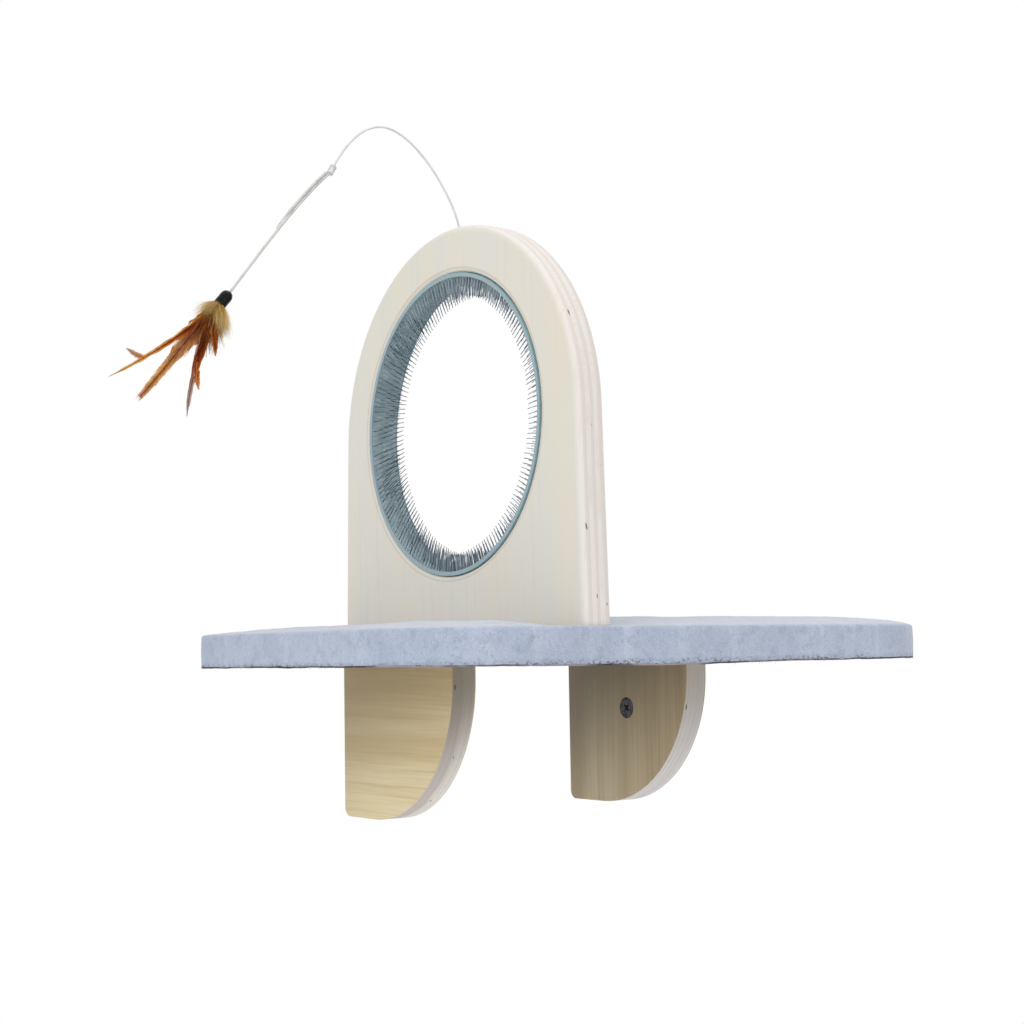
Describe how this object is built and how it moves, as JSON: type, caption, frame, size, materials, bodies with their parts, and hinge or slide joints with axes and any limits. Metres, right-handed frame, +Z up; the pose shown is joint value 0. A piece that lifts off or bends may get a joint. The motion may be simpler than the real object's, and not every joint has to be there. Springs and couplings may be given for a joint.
{
  "type": "wall-mounted cat platform",
  "caption": "Padded plywood wall shelf for a cat, on two brackets, with an upright panel whose round hole is lined with bristles and a feather lure on a spring wire.",
  "frame": {"origin": "on the wall plane, midway between the entry holes of the two keyhole hanger plates", "axes": "+Z up; +Y into the wall, so the deck reaches out along -Y; +X to the right along the wall as seen from the room"},
  "size_m": [0.5448, 0.268, 0.4315],
  "materials": {
    "plywood_deck": "sanded plywood",
    "foam": "upholstery foam",
    "plush": "short pale grey-blue plush",
    "plywood_pale": "sanded pale plywood",
    "plywood_tan": "sanded plywood",
    "zinc_screw": "zinc plated",
    "zinc_plate": "zinc plated",
    "dark_zinc": "dull cast zinc",
    "beech_dowel": "beech",
    "brush_plastic": "grey-teal plastic",
    "white_nylon": "white nylon",
    "wire_steel": "pale coated spring wire",
    "clip_metal": "crimped sleeve",
    "rod_coating": "off-white coated wire",
    "black_rubber": "black sleeve",
    "feather_rust": "rust-brown feather",
    "feather_dark": "dark brown feather",
    "down_olive": "olive-khaki down"
  },
  "bodies": {
    "platform": {"deck_board": "plywood_deck", "foam_pad": "foam", "plush_cover": "plush", "arch_panel": "plywood_pale", "arch_screws": "zinc_screw", "brush_band_1": "brush_plastic", "brush_band_2": "brush_plastic", "brush_band_3": "brush_plastic", "brush_band_4": "brush_plastic", "brush_band_5": "brush_plastic", "brush_band_6": "brush_plastic", "brush_band_7": "brush_plastic", "brush_band_8": "brush_plastic", "bracket_left": "plywood_tan", "bracket_right": "plywood_tan", "bracket_dowels": "beech_dowel", "cam_bolts": "zinc_screw", "hanger_plate_left": "zinc_plate", "hanger_plate_right": "zinc_plate", "hanger_screws": "zinc_screw", "wire_socket": "white_nylon", "wire_foot": "wire_steel"},
    "cam_left": {"cam_lock_left": "dark_zinc"},
    "cam_right": {"cam_lock_right": "dark_zinc"},
    "wire": {"spring_wire": "wire_steel", "wire_clip": "clip_metal"},
    "teaser": {"teaser_rod": "rod_coating", "feather_cap": "black_rubber", "feather_long": "feather_rust", "feather_broad": "feather_rust", "feather_dark": "feather_dark", "feather_short": "feather_rust", "feather_small": "feather_rust", "down_feathers": "down_olive"}
  },
  "joints": [
    {"name": "cam_left_turn", "type": "hinge", "parent": "platform", "child": "cam_left", "pos_m": [-0.0939, -0.066, 0.012], "axis": [1, 0, 0], "range_deg": [-180, 0]},
    {"name": "cam_right_turn", "type": "hinge", "parent": "platform", "child": "cam_right", "pos_m": [0.0939, -0.066, 0.012], "axis": [1, 0, 0], "range_deg": [0, 180]},
    {"name": "wire_sway", "type": "hinge", "parent": "platform", "child": "wire", "pos_m": [-0.096, -0.132, 0.31898], "axis": [1, 0, 0], "range_deg": [-25, 25], "stiffness_Nm_per_rad": 0.06},
    {"name": "rod_swing", "type": "hinge", "parent": "wire", "child": "teaser", "pos_m": [-0.1897, -0.132, 0.34083], "axis": [0, 1, 0], "range_deg": [-25, 25], "stiffness_Nm_per_rad": 0.05}
  ]
}
